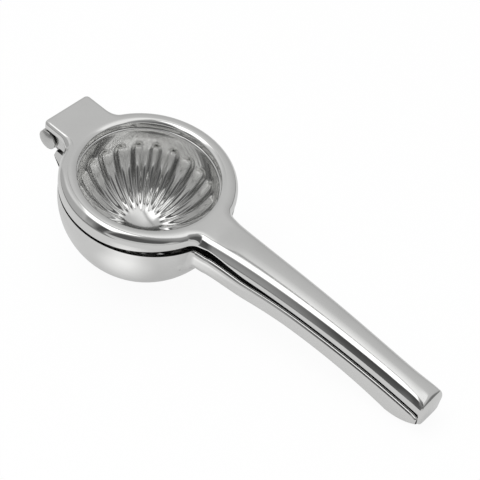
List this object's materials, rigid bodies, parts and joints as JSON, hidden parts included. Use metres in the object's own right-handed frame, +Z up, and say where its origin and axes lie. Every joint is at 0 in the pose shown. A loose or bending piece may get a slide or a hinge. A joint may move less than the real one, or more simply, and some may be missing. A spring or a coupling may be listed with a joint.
{
  "type": "citrus squeezer",
  "caption": "Hinged citrus squeezer: a fluted press cup in the upper arm folds into a drained bowl on the lower arm, worked by long channel-shaped grips.",
  "frame": {"origin": "centre of the bounding box's footprint, on the table the squeezer rests on", "axes": "+X along the squeezer towards the grips' tips, +Y to its left, +Z up from the table; it leans on the bowl's base and the lower grip"},
  "size_m": [0.2246, 0.0848, 0.0671],
  "materials": {
    "arm_steel": "polished",
    "cup_steel": "mirror polished",
    "bracket_steel": "satin",
    "bowl_steel": "polished",
    "pin_steel": "satin",
    "washer_steel": "dark oxide"
  },
  "bodies": {
    "lower": {"bowl": "bowl_steel", "lower_grip": "arm_steel", "lower_bracket": "bracket_steel"},
    "upper": {"upper_arm": "arm_steel", "press_cup": "cup_steel", "upper_bracket": "bracket_steel", "hinge_pin": "pin_steel", "head_washer": "washer_steel", "cap_washer": "washer_steel", "pin_cap": "pin_steel"}
  },
  "joints": [
    {"name": "main_hinge", "type": "hinge", "parent": "lower", "child": "upper", "pos_m": [-0.10701, 0, 0.05668], "axis": [0, -1, 0], "range_deg": [0, 160]}
  ]
}
